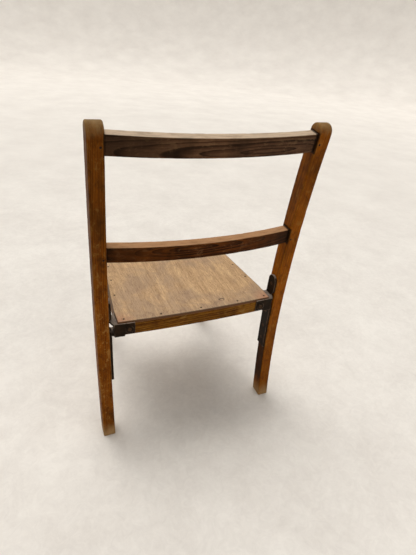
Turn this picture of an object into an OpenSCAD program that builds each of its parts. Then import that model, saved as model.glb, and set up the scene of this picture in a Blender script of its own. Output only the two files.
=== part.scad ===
// Infant school desk chair: bent back posts, two bowed back rails, a nailed plywood seat on a
// light rail frame, splayed front legs, and cast-iron corner brackets in place of stretchers.
// The chair faces -Y. "Left" is the sitter's left, which is +X.
// A point's "reach" is its distance in front of the rear heels.

/* [Overall] */
// Height of the rounded post tops above the floor
chair_h = 675.5; // [660:0.5:700]
// Clear width between the two back posts
inner_w = 367.6; // [360:0.2:380]
// Floor length from the rear heel to the front foot's toe
foot_spread = 370; // [360:1:380]

/* [Back posts] */
// Width of a post across the chair
post_w = 25.6; // [22:0.2:30]
// Depth of a post, front to back
post_d = 31.4; // [28:0.2:34]
// Height where the post's curve comes furthest forward
waist_z = 264; // [255:1:280]
// How far the foot kicks back from the waist
foot_kick = 19; // [12:0.5:26]
// How far the top leans back from the waist
top_lean = 33; // [24:0.5:40]

/* [Back rails] */
// Height of the top rail's lower rear edge where it meets the posts
top_rail_z = 625.6; // [600:0.2:632]
// Height of the lower rail's lower rear edge where it meets the posts
lower_rail_z = 434.4; // [400:0.2:450]
// Face height of the top rail
top_rail_h = 33; // [26:0.5:36]
// Face height of the lower rail
lower_rail_h = 30.5; // [26:0.5:36]
// Thickness of both back rails
rail_t = 20; // [17:0.5:22]
// How far the top rail bows backward at its middle
top_bow = 16.5; // [8:0.5:24]
// How far the lower rail bows backward at its middle
lower_bow = 18; // [8:0.5:24]
// How far the rails sit in front of the posts' back faces
rail_inset = 4; // [2:0.5:6]

/* [Seat] */
// Height of the seat's top face
seat_z = 301; // [296:0.5:306]
// Plywood thickness
ply_t = 6; // [5:0.5:8]
// Half the seat's width at its rear corners
seat_rear_half = 168.5; // [164:0.5:170]
// Half the seat's width along its front part
seat_front_half = 150.5; // [142:0.5:156]
// Reach of the rear corners
seat_rear = 16.4; // [14:0.2:20]
// Reach of the front edge
seat_front = 316; // [308:1:320]
// Reach where the parallel rear part of the sides begins to taper
taper_start = 58; // [56:1:70]
// How far the rear edge bows backward at its middle
seat_bow = 5; // [3:0.5:8]
// Height of the seat frame's rails
frame_h = 27; // [24:0.5:30]
// Thickness of the seat frame's rails
frame_t = 18; // [16:0.5:20]

/* [Front legs] */
// Side of the front legs' square section
leg_w = 26; // [24:0.5:28]
// Gap from a front leg's outer face to the seat's side edge
leg_inset = 0.5; // [0:0.5:3]
// Gap from a front leg's face to the seat's front edge, under the seat
leg_setback = 3; // [2:0.5:6]
// How far a front foot stands out sideways from the leg's top
leg_splay = 16; // [12:0.5:20]

/* [Iron brackets] */
// Plate thickness of the cups that hold the seat's rear corners
cup_t = 3; // [2.5:0.5:4]
// Plate thickness of the straps on the legs
strap_t = 5; // [4:0.5:6]
// Width of the straps
strap_w = 27; // [24:0.5:28]
// Lowest point of the long strap on a back post
strap_bottom = 151; // [140:1:170]
// Highest point of the upper lug on a back post
lug_top = 346; // [340:1:352]

/* [Hidden] */
$fn = 64;
BIG_FN = 720;
FAR = 400;
CUT = 1;

OAK = "#8a5524";
DARK_OAK = "#4f2f1b";
PLY = "#b48f60";
IRON = "#2e2522";
NAIL = "#3a3029";

inner_half = inner_w / 2;

// The post's side view is two arcs that meet at the waist, then a half-round top.
low_r = (pow(waist_z, 2) + pow(foot_kick, 2)) / (2 * foot_kick);
cap_z = chair_h - post_d / 2;
up_r = (pow(cap_z - waist_z, 2) + pow(top_lean, 2)) / (2 * top_lean);
mid_r = up_r + post_d / 2;
cap_angle = asin((cap_z - waist_z) / mid_r);
cap_reach = foot_kick - up_r + mid_r * cos(cap_angle);

// Furthest point behind the heels: the post tops, or the middle of the top rail's upper edge
top_rail_lean = post_lean(top_rail_z + top_rail_h / 2);
top_rail_back = top_bow * cos(top_rail_lean) + top_rail_h * sin(top_rail_lean);
overhang = max(post_d / 2 - cap_reach, top_rail_back - post_reach(top_rail_z, rail_inset));

// The origin lies under the middle of the chair's overall length.
heel_y = (foot_spread - overhang) / 2;

// Back rail joints
tenon_len = 14;
tenon_shoulder = 5;
glue_gap = 1;
pin_r = 2;
pin_len = 25;
pin_offset = 6;
top_pin_up = 15;
lower_pin_up = 8.5;

// Seat frame
frame_top = seat_z - ply_t;
frame_bottom = frame_top - frame_h;
seat_r = (pow(seat_rear_half, 2) + pow(seat_bow, 2)) / (2 * seat_bow);
corner_r = 5;
stub_len = 8;
stub_shoulder = 4;
stub_lap = 3;
leg_stub_in = 8;
leg_stub_w = 10;

// Front legs
leg_out = seat_front_half - leg_inset;
leg_in = leg_out - leg_w;
leg_top_front = seat_front - leg_setback;
leg_top_back = leg_top_front - leg_w;
splay_angle = atan(leg_splay / frame_top);
leg_drop = (frame_top + leg_w * sin(splay_angle)) / cos(splay_angle);
leg_slope = (foot_spread - leg_top_front) / leg_drop;
leg_angle = atan(leg_slope);
leg_top_mid = leg_top_back + leg_w / 2;
leg_spare = 20;

// Cups and arms
cup_bottom = frame_bottom - 1;
cup_side_end = taper_start - 4;
boss_out = seat_rear_half + 7.5;
arm_h = 5;
arm_front = 49;
arm_rear = 31;
strap_in = inner_half - strap_t;
lug_bottom_centre = 312.5;
strap_top_centre = 262;
pad_w = 16;
pad_tall = 13;
pad_chamfer = 3;
pad_h = 1.2;
pad_x = 146;
pad_z = cup_bottom + 16;
tongue_end = 135;
tongue_bottom = cup_bottom + 4;
cup_top = seat_z - 3;
corner_start = 155;
boss_depth = 8;
boss_r = 2;
arm_corner = 3;
lower_arm_rear = seat_rear + 10;
lower_arm_h = 8;

// Front brackets
knee_drop = 112;
knee_reach = 62;
knee_t = 4;
knee_w = 20;
rib_t = 4;
rib_leg = 36;
rib_root = 14;
rib_throat = 8;

// Screws and nails
screw_r = 1.9;
screw_head_r = 4;
screw_head_h = 2.4;
screw_len = 17;
screw_tip = 3;
slot_w = 0.9;
slot_deep = 0.8;
nail_r = 0.9;
nail_head_r = 2.1;
nail_head_h = 0.7;
nail_len = 21;
nail_inset = 9;
strap_screw_z = [172, 207, 248, 325];
cup_screw_reach = [32, 47];
rear_nail_x = [-159, -92, -6, 80, 155];
side_nail_reach = [110, 170, 230, 284];
front_nail_x = [-96, -32, 32, 96];
leg_screw_drop = [22, 58, 94];
knee_screw_reach = [24, 50];

// y of a point from its reach
function at(reach) = heel_y - reach;

// Reach of the post's side curve at height z, measured "out" forward of its back face
function post_reach(z, out = 0) =
    let (r = z < waist_z ? low_r : up_r)
    foot_kick - r + sqrt(pow(r + out, 2) - pow(z - waist_z, 2));

function post_y(z, out = 0) = at(post_reach(z, out));

// Half the seat's width at a given reach
function seat_half(reach) =
    reach < taper_start ? seat_rear_half
    : reach > leg_top_back ? seat_front_half
    : seat_rear_half + (seat_front_half - seat_rear_half)
      * (reach - taper_start) / (leg_top_back - taper_start);

// Lean of the post at height z
function post_lean(z) = asin((z - waist_z) / up_r);

// Half the chord and the rise of a bowed rail give its radius.
function bow_radius(half, rise) = (pow(half, 2) + pow(rise, 2)) / (2 * rise);

// Draws a side view, with y across and z up, and extrudes it along x from x0 over a width.
module side_plate(x0, width)
    translate([x0, 0, 0]) rotate([90, 0, 90]) linear_extrude(width) children();

// Places children on both sides of the chair.
module both_sides() {
    children();
    mirror([1, 0, 0]) children();
}

module ring(r_in, r_out) {
    difference() {
        circle(r_out, $fn = BIG_FN);
        circle(r_in, $fn = BIG_FN);
    }
}

// ---- back posts ----

// Side view of a band that follows the post, from "inset" inside each face.
module post_band(inset) {
    wedge = up_r + 2 * post_d;
    intersection() {
        translate([at(foot_kick) + low_r, waist_z]) ring(low_r + inset, low_r + post_d - inset);
        translate([at(foot_kick + 2 * post_d), 0]) square([4 * post_d, waist_z]);
    }
    intersection() {
        translate([at(foot_kick) + up_r, waist_z]) ring(up_r + inset, up_r + post_d - inset);
        translate([at(foot_kick) + up_r, waist_z])
            polygon([[0, 0], [-wedge, 0], [-wedge, wedge * tan(cap_angle)]]);
    }
}

module post_side_view() {
    post_band(0);
    translate([at(cap_reach), cap_z]) circle(post_d / 2, $fn = 96);
}

// Local frame of a back rail: origin at its lower rear edge, tilted with the posts.
module at_rail(rail_z, rail_h) {
    lean = post_lean(rail_z + rail_h / 2);
    translate([0, post_y(rail_z, rail_inset), rail_z]) rotate([-lean, 0, 0]) children();
}

module tenon_box(rail_h, extra) {
    translate([inner_half - CUT, tenon_shoulder - rail_t, tenon_shoulder])
        cube([tenon_len + CUT + extra, rail_t - 2 * tenon_shoulder, rail_h - 2 * tenon_shoulder]);
}

// A pin goes in square to the post's back face and through the tenon.
module rail_pin(up)
    translate([inner_half + pin_offset, rail_inset, up])
        rotate([90, 0, 0]) cylinder(r = pin_r, h = pin_len);

module post() {
    difference() {
        side_plate(inner_half, post_w) post_side_view();
        at_rail(top_rail_z, top_rail_h) tenon_box(top_rail_h, glue_gap);
        at_rail(lower_rail_z, lower_rail_h) tenon_box(lower_rail_h, glue_gap);
        at_rail(top_rail_z, top_rail_h) rail_pin(top_pin_up);
        at_rail(lower_rail_z, lower_rail_h) rail_pin(lower_pin_up);
        for (z = strap_screw_z) strap_screw(z);
    }
}

module post_left() color(OAK) post();

module post_right() color(OAK) mirror([1, 0, 0]) post();

// ---- back rails ----

module back_rail(rail_h, rise, pin_up) {
    r = bow_radius(inner_half, rise);
    difference() {
        union() {
            linear_extrude(rail_h) intersection() {
                translate([0, rise - r]) ring(r - rail_t, r);
                translate([-inner_half, -2 * rail_t]) square([inner_w, 4 * rail_t]);
            }
            both_sides() tenon_box(rail_h, 0);
        }
        both_sides() rail_pin(pin_up);
    }
}

module top_rail()
    color(DARK_OAK) at_rail(top_rail_z, top_rail_h) back_rail(top_rail_h, top_bow, top_pin_up);

module lower_rail()
    color(DARK_OAK) at_rail(lower_rail_z, lower_rail_h)
        back_rail(lower_rail_h, lower_bow, lower_pin_up);

module top_rail_pins()
    color(NAIL) at_rail(top_rail_z, top_rail_h) both_sides() rail_pin(top_pin_up);

module lower_rail_pins()
    color(NAIL) at_rail(lower_rail_z, lower_rail_h) both_sides() rail_pin(lower_pin_up);

// ---- seat ----

module seat_side_lines() {
    polygon([
        [-seat_rear_half, at(-FAR)], [seat_rear_half, at(-FAR)],
        [seat_rear_half, at(taper_start)],
        [seat_front_half, at(leg_top_back)], [seat_front_half, at(seat_front)],
        [-seat_front_half, at(seat_front)], [-seat_front_half, at(leg_top_back)],
        [-seat_rear_half, at(taper_start)]
    ]);
}

// Plan of the seat, square at the front corners.
module seat_plan() {
    intersection() {
        seat_side_lines();
        translate([0, at(seat_rear) + seat_bow - seat_r]) circle(seat_r, $fn = BIG_FN);
    }
}

// What comes off a front corner to round it
module corner_waste() {
    translate([seat_front_half - corner_r, at(seat_front) + corner_r]) difference() {
        translate([0, -corner_r - CUT]) square(corner_r + CUT);
        circle(corner_r);
    }
}

module seat_panel() {
    color(PLY) difference() {
        translate([0, 0, frame_top]) linear_extrude(ply_t) difference() {
            seat_plan();
            both_sides() corner_waste();
        }
        all_nails();
    }
}

// Plan of the bowed rear rail
module rear_rail_plan() {
    intersection() {
        seat_side_lines();
        translate([0, at(seat_rear) + seat_bow - seat_r]) ring(seat_r - frame_t, seat_r);
        translate([-FAR, at(4 * frame_t)]) square(2 * FAR);
    }
}

module side_rail_plan() {
    inner_rear = seat_rear_half - frame_t;
    inner_front = seat_front_half - frame_t;
    intersection() {
        seat_plan();
        difference() {
            polygon([
                [inner_rear, at(0)], [FAR, at(0)],
                [FAR, at(leg_top_mid)], [inner_front, at(leg_top_mid)]
            ]);
            rear_rail_plan();
        }
    }
}

// Stub tenon at the rear end of a side rail
module rear_stub() {
    root = seat_rear + frame_t;
    inner = seat_rear_half - frame_t;
    translate([inner + stub_shoulder, at(root + stub_lap), frame_bottom + stub_shoulder])
        cube([frame_t - 2 * stub_shoulder, stub_len + stub_lap, frame_h - 2 * stub_shoulder]);
}

// Stub tenon at the front end of a side rail, into the front leg
module leg_stub() {
    tip = leg_top_back + stub_len + stub_lap;
    translate([leg_in + leg_stub_in, at(tip), frame_bottom + stub_shoulder])
        cube([leg_stub_w, stub_len + 2 * stub_lap, frame_h - 2 * stub_shoulder]);
}

module side_rail() {
    difference() {
        union() {
            difference() {
                translate([0, 0, frame_bottom]) linear_extrude(frame_h) side_rail_plan();
                leg_shape(2 * leg_w);
            }
            rear_stub();
            leg_stub();
        }
        all_nails();
        cup_side_screws();
        knee_rail_screws();
    }
}

module side_seat_rail_left() color(OAK) side_rail();

module side_seat_rail_right() color(OAK) mirror([1, 0, 0]) side_rail();

module rear_seat_rail() {
    color(OAK) difference() {
        translate([0, 0, frame_bottom]) linear_extrude(frame_h) rear_rail_plan();
        both_sides() rear_stub();
        both_sides() cup_rear_screw();
        all_nails();
    }
}

// Stub tenon at an end of the front rail
module front_stub() {
    translate([leg_in - CUT, at(leg_top_front) + stub_shoulder, frame_bottom + stub_shoulder])
        cube([stub_len + CUT, frame_t - 2 * stub_shoulder, frame_h - 2 * stub_shoulder]);
}

module front_seat_rail() {
    color(OAK) difference() {
        union() {
            difference() {
                translate([-leg_out, at(leg_top_front), frame_bottom])
                    cube([2 * leg_out, frame_t, frame_h]);
                both_sides() leg_shape(2 * leg_w);
            }
            both_sides() front_stub();
        }
        all_nails();
    }
}

// ---- front legs ----

// Leans children outward with a front leg, about the top of its inner face.
module splayed()
    translate([leg_in, 0, frame_top]) rotate([0, -splay_angle, 0])
        translate([-leg_in, 0, -frame_top]) children();

// Slanted leg, "width" wide from its inner face, cut level at the floor and under the seat
module leg_shape(width) {
    low = -leg_spare;
    high = frame_top + leg_spare;
    shift_low = leg_slope * (frame_top - low);
    shift_high = leg_slope * (frame_top - high);
    intersection() {
        splayed() side_plate(leg_in, width) polygon([
            [at(leg_top_front + shift_low), low], [at(leg_top_back + shift_low), low],
            [at(leg_top_back + shift_high), high], [at(leg_top_front + shift_high), high]
        ]);
        translate([0, -FAR, 0]) cube([FAR, 2 * FAR, frame_top]);
    }
}

module front_leg() {
    difference() {
        leg_shape(leg_w);
        front_stub();
        leg_stub();
        knee_leg_screws();
    }
}

module front_leg_left() color(OAK) front_leg();

module front_leg_right() color(OAK) mirror([1, 0, 0]) front_leg();

// ---- screws and nails ----

// Screw with its head's face at the origin, pointing along -Z
module screw_body() {
    rotate_extrude() polygon([
        [0, 0], [screw_head_r, 0], [screw_r, -screw_head_h],
        [screw_r, screw_tip - screw_len], [0, -screw_len]
    ]);
}

module screw() {
    difference() {
        screw_body();
        translate([-screw_head_r, -slot_w / 2, -slot_deep])
            cube([2 * screw_head_r, slot_w, 2 * slot_deep]);
    }
}

// Screw through a strap into the post's inner face, at height z
module strap_screw(z, slotted = false) {
    translate([strap_in, post_y(z, post_d / 2), z]) rotate([0, -90, 0])
        if (slotted) screw(); else screw_body();
}

module post_screws() {
    color(NAIL) both_sides() for (z = strap_screw_z) strap_screw(z, true);
}

module cup_rear_screw(slotted = false) {
    turn = asin(pad_x / seat_r);
    translate([0, at(seat_rear) + seat_bow - seat_r, pad_z]) rotate([0, 0, -turn])
        translate([0, seat_r + cup_t + pad_h, 0]) rotate([-90, 0, 0])
            if (slotted) screw(); else screw_body();
}

module cup_side_screws(slotted = false) {
    for (reach = cup_screw_reach)
        translate([seat_rear_half + cup_t, at(reach), pad_z]) rotate([0, 90, 0])
            if (slotted) screw(); else screw_body();
}

module cup_screws() {
    color(NAIL) both_sides() {
        cup_rear_screw(true);
        cup_side_screws(true);
    }
}

// Local frame on a front leg's back face: origin under the side rail, x across, -z down the leg
module at_knee()
    splayed() translate([leg_in + leg_w / 2, at(leg_top_back + leg_slope * frame_h), frame_bottom])
        rotate([-leg_angle, 0, 0]) children();

module knee_leg_screws(slotted = false) {
    at_knee() for (drop = leg_screw_drop)
        translate([0, knee_t, -drop]) rotate([-90, 0, 0])
            if (slotted) screw(); else screw_body();
}

module knee_rail_screws(slotted = false) {
    for (reach = knee_screw_reach)
        translate([knee_x(reach), at(leg_top_back - reach), frame_bottom - knee_t])
            rotate([180, 0, 0]) if (slotted) screw(); else screw_body();
}

// The arm under the side rail follows the rail's taper.
function knee_x(reach) = seat_half(leg_top_back - reach) - frame_t / 2;

module leg_screws() color(NAIL) both_sides() knee_leg_screws(true);

module front_rail_screws() color(NAIL) both_sides() knee_rail_screws(true);

module nail(x, reach) {
    translate([x, at(reach), seat_z - nail_head_h]) {
        cylinder(r = nail_head_r, h = nail_head_h, $fn = 24);
        translate([0, 0, nail_head_h - nail_len]) cylinder(r = nail_r, h = nail_len, $fn = 24);
    }
}

module all_nails() {
    for (x = rear_nail_x) nail(x, seat_rear - seat_bow + nail_inset + pow(x, 2) / (2 * seat_r));
    both_sides() for (reach = side_nail_reach) nail(seat_half(reach) - nail_inset, reach);
    for (x = front_nail_x) nail(x, leg_top_front - nail_inset);
}

module seat_nails() color(NAIL) all_nails();

// ---- iron brackets ----

// Long strap and upper lug, drawn in side view
module strap_view() {
    inset = (post_d - strap_w) / 2;
    top_centre = lug_top - strap_w / 2;
    intersection() {
        post_band(inset);
        union() {
            translate([at(FAR), strap_bottom]) square([2 * FAR, strap_top_centre - strap_bottom]);
            translate([at(FAR), lug_bottom_centre])
                square([2 * FAR, top_centre - lug_bottom_centre]);
        }
    }
    for (z = [strap_top_centre, lug_bottom_centre, top_centre])
        translate([post_y(z, post_d / 2), z]) circle(strap_w / 2);
    // The lug's lower front corner stays square, where the upper arm joins it.
    translate([post_y(lug_bottom_centre, post_d - inset), cup_top - arm_h])
        square([strap_w / 2, lug_bottom_centre - cup_top + arm_h]);
}

// Plan of an arm from the cup to a strap, with its rear edge running from a reach on the cup
module arm_plan(cup_reach, cup_out) {
    polygon([
        [seat_rear_half, at(cup_reach)], [cup_out, at(cup_reach)],
        [inner_half, at(arm_rear)], [inner_half, at(arm_front - arm_corner)],
        [inner_half - arm_corner, at(arm_front)], [seat_rear_half, at(arm_front)]
    ]);
}

// Plan of the cup's bowed plate behind the seat, from x = start
module cup_rear_plan(start) {
    intersection() {
        translate([0, at(seat_rear) + seat_bow - seat_r]) ring(seat_r, seat_r + cup_t);
        translate([start, at(2 * seat_rear)]) square([seat_rear_half - start, FAR]);
    }
}

// Plan of the cup's plate beside the seat and of the boss with a rounded corner that joins them
module cup_side_plan() {
    translate([seat_rear_half, at(cup_side_end)]) square([cup_t, cup_side_end - seat_rear + cup_t]);
    translate([seat_rear_half, at(seat_rear + boss_depth)])
        square([boss_out - seat_rear_half - boss_r, boss_depth + cup_t]);
    translate([seat_rear_half, at(seat_rear + boss_depth - boss_r)])
        square([boss_out - seat_rear_half, boss_depth + cup_t - 2 * boss_r]);
    translate([boss_out - boss_r, at(seat_rear) + cup_t - boss_r]) circle(boss_r);
}

module rear_bracket() {
    difference() {
        union() {
            translate([0, 0, cup_bottom]) linear_extrude(cup_top - cup_bottom)
                cup_rear_plan(corner_start);
            translate([0, 0, tongue_bottom]) linear_extrude(cup_top - tongue_bottom)
                cup_rear_plan(tongue_end);
            translate([0, 0, cup_bottom]) linear_extrude(cup_top - cup_bottom) cup_side_plan();
            cup_pad();
            translate([0, 0, cup_top - arm_h]) linear_extrude(arm_h)
                arm_plan(seat_rear - cup_t, boss_out);
            translate([0, 0, cup_bottom - lower_arm_h]) linear_extrude(lower_arm_h)
                arm_plan(lower_arm_rear, seat_rear_half + cup_t);
            side_plate(strap_in, strap_t) strap_view();
        }
        cup_rear_screw();
        cup_side_screws();
        for (z = strap_screw_z) strap_screw(z);
    }
}

// Raised pad under the rear screw's head
module cup_pad() {
    turn = asin(pad_x / seat_r);
    x = pad_w / 2;
    z = pad_tall / 2;
    translate([0, at(seat_rear) + seat_bow - seat_r, 0]) rotate([0, 0, -turn])
        translate([0, seat_r + cup_t / 2, pad_z]) rotate([-90, 0, 0])
            linear_extrude(cup_t / 2 + pad_h) polygon([
                [-x, pad_chamfer - z], [pad_chamfer - x, -z], [x - pad_chamfer, -z],
                [x, pad_chamfer - z], [x, z - pad_chamfer], [x - pad_chamfer, z],
                [pad_chamfer - x, z], [-x, z - pad_chamfer]
            ]);
}

module rear_bracket_left() color(IRON) rear_bracket();

module rear_bracket_right() color(IRON) mirror([1, 0, 0]) rear_bracket();

// Knee: a strap down the leg's back face, an arm under the side rail and a rib between them
module front_bracket() {
    difference() {
        union() {
            at_knee() {
                translate([-knee_w / 2, 0, -knee_drop]) cube([knee_w, knee_t, knee_drop]);
                translate([0, 0, -knee_drop]) rotate([-90, 0, 0]) cylinder(d = knee_w, h = knee_t);
            }
            knee_arm();
            splayed() knee_rib();
        }
        leg_shape(leg_w);
        translate([0, -FAR, frame_bottom]) cube([FAR, 2 * FAR, frame_h]);
        knee_leg_screws();
        knee_rail_screws();
    }
}

module knee_arm() {
    start = leg_top_back + leg_slope * frame_h;
    stop = leg_top_back - knee_reach;
    middle = leg_in + leg_w / 2 + frame_h * tan(splay_angle);
    far_x = knee_x(knee_reach);
    translate([0, 0, frame_bottom - knee_t]) linear_extrude(knee_t) {
        polygon([
            [middle - knee_w / 2, at(start)], [middle + knee_w / 2, at(start)],
            [far_x + knee_w / 2, at(stop)], [far_x - knee_w / 2, at(stop)]
        ]);
        translate([far_x, at(stop)]) circle(knee_w / 2);
    }
}

module knee_rib() {
    start = leg_top_back + leg_slope * frame_h;
    side_plate(leg_in + leg_w / 2 - rib_t / 2, rib_t) difference() {
        polygon([
            [at(start + rib_root), frame_bottom], [at(start - rib_leg), frame_bottom],
            [at(start - rib_leg), frame_bottom - knee_t],
            [at(start + rib_leg * leg_slope), frame_bottom - rib_leg - knee_t],
            [at(start + rib_root), frame_bottom - rib_leg - knee_t]
        ]);
        translate([at(start - rib_leg), frame_bottom - rib_leg - knee_t])
            circle(rib_leg - rib_throat);
    }
}

module front_bracket_left() color(IRON) front_bracket();

module front_bracket_right() color(IRON) mirror([1, 0, 0]) front_bracket();

post_left();
post_right();
top_rail();
lower_rail();
top_rail_pins();
lower_rail_pins();
seat_panel();
rear_seat_rail();
front_seat_rail();
side_seat_rail_left();
side_seat_rail_right();
front_leg_left();
front_leg_right();
rear_bracket_left();
rear_bracket_right();
front_bracket_left();
front_bracket_right();
seat_nails();
post_screws();
cup_screws();
leg_screws();
front_rail_screws();
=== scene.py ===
import math

import bmesh
import bpy
import numpy as np
from mathutils import Matrix, Vector, noise


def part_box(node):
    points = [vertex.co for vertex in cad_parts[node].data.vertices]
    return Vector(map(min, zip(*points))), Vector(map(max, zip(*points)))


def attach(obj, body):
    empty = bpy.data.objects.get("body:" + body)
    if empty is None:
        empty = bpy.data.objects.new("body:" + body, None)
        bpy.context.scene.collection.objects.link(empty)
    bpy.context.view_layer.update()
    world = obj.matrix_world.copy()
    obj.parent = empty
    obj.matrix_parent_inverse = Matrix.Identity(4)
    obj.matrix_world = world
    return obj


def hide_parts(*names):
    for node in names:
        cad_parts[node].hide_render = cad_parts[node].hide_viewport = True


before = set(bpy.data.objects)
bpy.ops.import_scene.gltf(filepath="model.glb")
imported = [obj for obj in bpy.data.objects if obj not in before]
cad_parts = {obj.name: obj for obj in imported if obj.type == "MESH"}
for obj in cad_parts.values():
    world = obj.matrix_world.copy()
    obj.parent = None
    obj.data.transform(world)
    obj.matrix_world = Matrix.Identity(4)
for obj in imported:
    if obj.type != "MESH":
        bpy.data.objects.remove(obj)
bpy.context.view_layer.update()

# Everything is in metres, in the CAD frame: the chair faces -Y and +X is the sitter's left.
MM = 0.001
X, Y, Z = 0, 1, 2
SIDES = {"left": 1, "right": -1}


# ---------------------------------------------------------------- reading the CAD frame

class Solid:
    """Edges of a CAD node, which can be cut by a plane to find where its faces are."""

    def __init__(self, node):
        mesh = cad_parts[node].data
        self.points = np.array([v.co for v in mesh.vertices], float)
        self.edges = np.array([e.vertices for e in mesh.edges], int)
        self.low, self.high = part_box(node)

    def cut(self, axis, place):
        """Points where the node's edges cross the plane coordinate[axis] = place."""
        a, b = self.points[self.edges[:, 0]], self.points[self.edges[:, 1]]
        da, db = a[:, axis] - place, b[:, axis] - place
        crossing = da * db < 0
        share = (da / np.where(crossing, da - db, 1.0))[crossing, None]
        return a[crossing] + share * (b[crossing] - a[crossing])

    def corners(self, axis, place):
        """The four outer corners of a section, as (-,-), (+,-), (+,+), (-,+) in its plane."""
        p, q = [k for k in (X, Y, Z) if k != axis]
        points = self.cut(axis, place)
        both, cross = points[:, p] + points[:, q], points[:, p] - points[:, q]
        order = (both.argmin(), cross.argmax(), both.argmax(), cross.argmin())
        return [Vector(points[k]) for k in order]

    def span(self, axis, place, along):
        """Lowest and highest coordinate along an axis in a section."""
        values = self.cut(axis, place)[:, along]
        return values.min(), values.max()


def islands(node):
    """(lowest, highest) corner of each separate solid in a CAD node."""
    bm = bmesh.new()
    bm.from_mesh(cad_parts[node].data)
    bmesh.ops.remove_doubles(bm, verts=bm.verts, dist=0.01 * MM)
    boxes, seen = [], set()
    for start in bm.verts:
        if start in seen:
            continue
        group, queue = [], [start]
        seen.add(start)
        while queue:
            vert = queue.pop()
            group.append(vert.co.copy())
            for edge in vert.link_edges:
                other = edge.other_vert(vert)
                if other not in seen:
                    seen.add(other)
                    queue.append(other)
        cloud = np.array(group)
        boxes.append((Vector(cloud.min(0)), Vector(cloud.max(0))))
    bm.free()
    return boxes


# ---------------------------------------------------------------- mesh building

def rounding(distance, radius):
    """How far a face has dropped at a distance from a rounded edge."""
    if distance >= radius:
        return 0.0
    return radius - math.sqrt(max(radius * radius - (radius - distance) ** 2, 0.0))


# Shares of the edge radius at which rows of points follow an edge's rounding
EDGE_STEPS = (0.0, 0.12, 0.36, 0.68, 1.0)


def stops(low, high, radius, count):
    """Places from low to high, crowded where both ends are rounded."""
    ends = [radius * s for s in EDGE_STEPS]
    inner = np.linspace(low + radius, high - radius, count + 1)[1:-1]
    return [low + e for e in ends] + list(inner) + [high - e for e in reversed(ends)]


def skin(rings):
    """Joins rings of equal length into a closed tube whose ends are fans."""
    bm = bmesh.new()
    rows = [[bm.verts.new(p) for p in ring] for ring in rings]
    count = len(rings[0])
    for row, following in zip(rows, rows[1:]):
        for k in range(count):
            nxt = (k + 1) % count
            bm.faces.new((row[k], row[nxt], following[nxt], following[k]))
    for row, flip in ((rows[0], True), (rows[-1], False)):
        middle = bm.verts.new(sum((v.co for v in row), Vector()) / count)
        for k in range(count):
            face = (row[k], row[(k + 1) % count], middle)
            bm.faces.new(face[::-1] if flip else face)
    return bm


def store(mesh, name, value):
    """Keeps value(co) at every point of a mesh, for its material to use."""
    values = [value(vert.co) for vert in mesh.vertices]
    if isinstance(values[0], Vector):
        flat = [c for v in values for c in v]
        mesh.attributes.new(name, "FLOAT_VECTOR", "POINT").data.foreach_set("vector", flat)
    else:
        mesh.attributes.new(name, "FLOAT", "POINT").data.foreach_set("value", values)


def finish_mesh(name, bm, grain, wear, material, node):
    """Makes the piece, with its grain and wear stored at its points, and rides it on the root.

    grain(co) gives the place in the timber, across, across and along; wear(co) gives 0 to 1.
    """
    bmesh.ops.remove_doubles(bm, verts=bm.verts, dist=0.005 * MM)
    bmesh.ops.dissolve_degenerate(bm, edges=bm.edges, dist=0.002 * MM)
    bmesh.ops.recalc_face_normals(bm, faces=bm.faces)
    mesh = bpy.data.meshes.new(name)
    bm.to_mesh(mesh)
    bm.free()
    for polygon in mesh.polygons:
        polygon.use_smooth = True
    store(mesh, "grain", grain)
    store(mesh, "wear", wear)
    mesh.materials.append(material)
    piece = bpy.data.objects.new(name, mesh)
    bpy.context.scene.collection.objects.link(piece)
    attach(piece, "root")
    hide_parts(node)
    return piece


def roughen(bm, seed, wave, dent, edge_of):
    """Moves points along their normals: slow hand-planed waves, and dents where edges are worn."""
    bm.normal_update()
    shift = Vector((seed * 3.1, seed * 1.7, seed * 2.3))
    moves = []
    for vert in bm.verts:
        slow = noise.noise(vert.co * 28 + shift)
        fine = noise.noise(vert.co * 140 + shift)
        chip = max(0.0, noise.noise(vert.co * 95 - shift) - 0.12)
        moves.append(vert.normal * (wave * (slow + 0.35 * fine) - dent * chip * edge_of(vert.co)))
    for vert, move in zip(bm.verts, moves):
        vert.co += move


# Corners of a section in the order of its outline
CORNERS = ((1, -1), (1, 1), (-1, 1), (-1, -1))


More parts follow.
